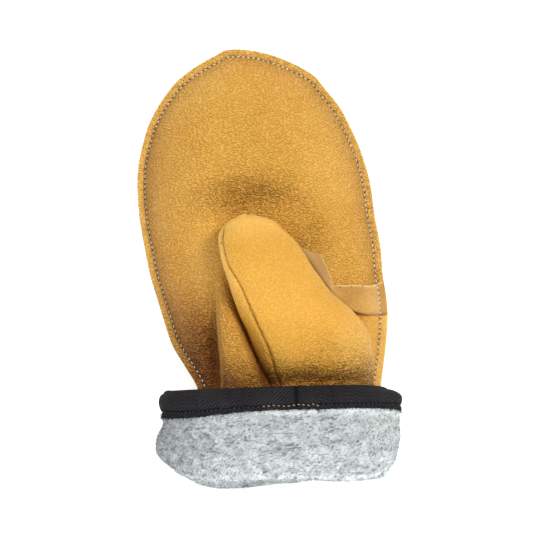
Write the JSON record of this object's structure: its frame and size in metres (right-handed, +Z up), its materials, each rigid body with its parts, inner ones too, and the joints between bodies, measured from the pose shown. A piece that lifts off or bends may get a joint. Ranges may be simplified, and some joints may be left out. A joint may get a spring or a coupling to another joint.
{
  "type": "leather mitten",
  "caption": "Lined leather mitten lying on its back, thumb folded over the palm, fleece cuff turned back with a dark bound edge.",
  "frame": {"origin": "middle of the mitten's bounding box, on the surface it lies on", "axes": "+Y from the cuff toward the fingertips, +Z up out of the palm, +X across the palm toward the side where the thumb is sewn in"},
  "size_m": [0.1538, 0.2558, 0.0758],
  "materials": {
    "leather": "smooth golden tan grain leather, soft sheen",
    "thumb_leather": "smooth golden tan grain leather, a little brighter",
    "suede": "flesh side of the leather, matt",
    "binding_tape": "near black twill tape",
    "fleece": "heathered light grey fleece"
  },
  "bodies": {
    "root": {"palm_panel": "leather", "back_panel": "leather", "thumb_front": "thumb_leather", "thumb_back": "thumb_leather", "crotch_welt": "suede", "cuff_binding": "binding_tape", "fleece_cuff": "fleece", "hand_lining": "fleece"}
  },
  "joints": []
}
